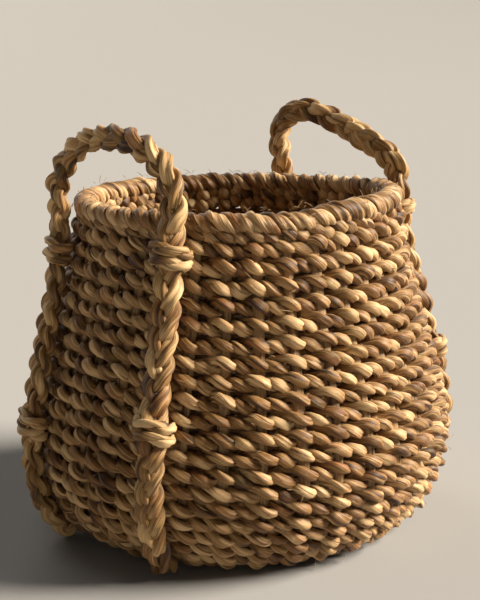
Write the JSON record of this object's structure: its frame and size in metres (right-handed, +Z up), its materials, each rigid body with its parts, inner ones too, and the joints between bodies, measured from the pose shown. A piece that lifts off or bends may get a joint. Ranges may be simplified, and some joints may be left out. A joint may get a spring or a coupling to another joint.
{
  "type": "seagrass storage basket",
  "caption": "Round, low-bellied storage basket twined from seagrass over upright stakes, with a twisted rim and two standing braided loop handles.",
  "frame": {"origin": "centre of the flat underside, on the surface that the basket stands on", "axes": "+Z up; the two handles stand at -X (left_handle) and +X (right_handle); -Y is the front"},
  "size_m": [0.2193, 0.2, 0.1914],
  "materials": {
    "weft": "dry plant fibre, matte with a waxy sheen",
    "stake": "dry plant fibre, matte",
    "rim": "dry plant fibre, matte with a waxy sheen",
    "braid": "dry plant fibre, matte with a waxy sheen",
    "lashing": "dry plant fibre, matte"
  },
  "bodies": {
    "basket": {"base_mat": "weft", "stakes": "stake", "inner_base_mat": "weft", "inner_weft_band_1": "weft", "inner_weft_band_2": "weft", "inner_weft_band_3": "weft", "inner_weft_band_4": "weft", "weft_row_01": "weft", "weft_row_02": "weft", "weft_row_03": "weft", "weft_row_04": "weft", "weft_row_05": "weft", "weft_row_06": "weft", "weft_row_07": "weft", "weft_row_08": "weft", "weft_row_09": "weft", "weft_row_10": "weft", "weft_row_11": "weft", "weft_row_12": "weft", "weft_row_13": "weft", "weft_row_14": "weft", "weft_row_15": "weft", "weft_row_16": "weft", "weft_row_17": "weft", "weft_row_18": "weft", "weft_row_19": "weft", "weft_row_20": "weft", "rim_border": "rim", "left_handle_front_leg": "braid", "left_handle_front_upper_lashing": "lashing", "left_handle_front_lower_lashing": "lashing", "left_handle_back_leg": "braid", "left_handle_back_upper_lashing": "lashing", "left_handle_back_lower_lashing": "lashing", "right_handle_front_leg": "braid", "right_handle_front_upper_lashing": "lashing", "right_handle_front_lower_lashing": "lashing", "right_handle_back_leg": "braid", "right_handle_back_upper_lashing": "lashing", "right_handle_back_lower_lashing": "lashing"},
    "left_handle": {"left_handle_loop": "braid"},
    "right_handle": {"right_handle_loop": "braid"}
  },
  "joints": [
    {"name": "left_handle_bend", "type": "hinge", "parent": "basket", "child": "left_handle", "pos_m": [-0.0715, 0, 0.1545], "axis": [0, -1, 0], "range_deg": [-45, 60], "stiffness_Nm_per_rad": 0.04},
    {"name": "right_handle_bend", "type": "hinge", "parent": "basket", "child": "right_handle", "pos_m": [0.0726, 0, 0.1545], "axis": [0, 1, 0], "range_deg": [-45, 60], "stiffness_Nm_per_rad": 0.04}
  ]
}
